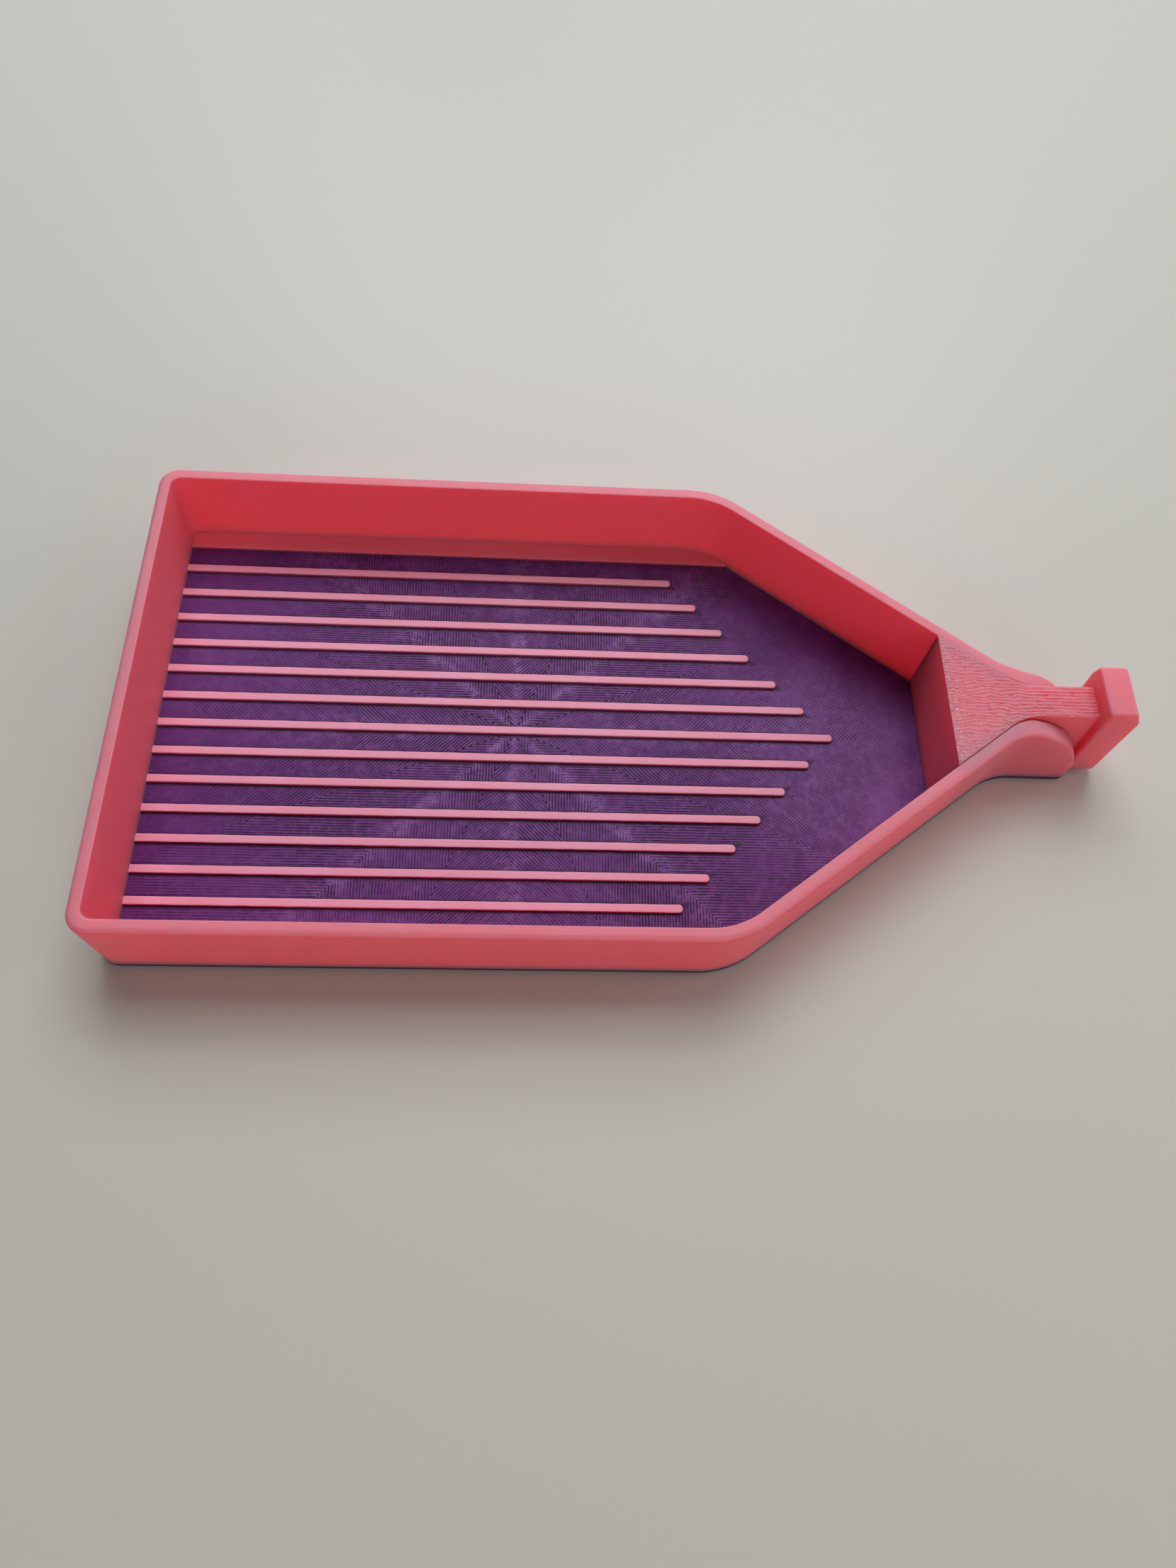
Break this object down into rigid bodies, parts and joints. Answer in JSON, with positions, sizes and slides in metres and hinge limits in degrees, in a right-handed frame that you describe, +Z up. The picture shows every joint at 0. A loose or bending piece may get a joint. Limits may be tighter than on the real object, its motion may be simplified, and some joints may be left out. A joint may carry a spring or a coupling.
{
  "type": "bead sorting tray",
  "caption": "Shallow two-colour tray with parallel floor ribs, a funnel that narrows to a pouring spout, and a lift-out stopper with a knob that closes it.",
  "frame": {"origin": "middle of the footprint of the whole part, stopper knob included, on the surface that the tray stands on", "axes": "+X along the tray towards the spout, +Z up out of the tray, +Y to the left when looking along +X; the tray is symmetric about the plane Y = 0"},
  "size_m": [0.1236, 0.0632, 0.015],
  "materials": {
    "purple_plastic": "satin printed plastic with fine extrusion lines",
    "pink_plastic": "matte printed plastic with fine layer lines",
    "stopper_plastic": "matte printed plastic, rough on top where print supports were"
  },
  "bodies": {
    "tray": {"floor_plate": "purple_plastic", "tray_wall": "pink_plastic", "rib_01": "pink_plastic", "rib_02": "pink_plastic", "rib_03": "pink_plastic", "rib_04": "pink_plastic", "rib_05": "pink_plastic", "rib_06": "pink_plastic", "rib_07": "pink_plastic", "rib_08": "pink_plastic", "rib_09": "pink_plastic", "rib_10": "pink_plastic", "rib_11": "pink_plastic", "rib_12": "pink_plastic", "rib_13": "pink_plastic", "far_foot_strip": "pink_plastic", "near_foot_strip": "pink_plastic"},
    "stopper": {"stopper": "stopper_plastic"}
  },
  "joints": [
    {"name": "stopper_lift", "type": "slide", "parent": "tray", "child": "stopper", "axis": [0, 0, 1], "range_m": [0, 0.016]}
  ]
}
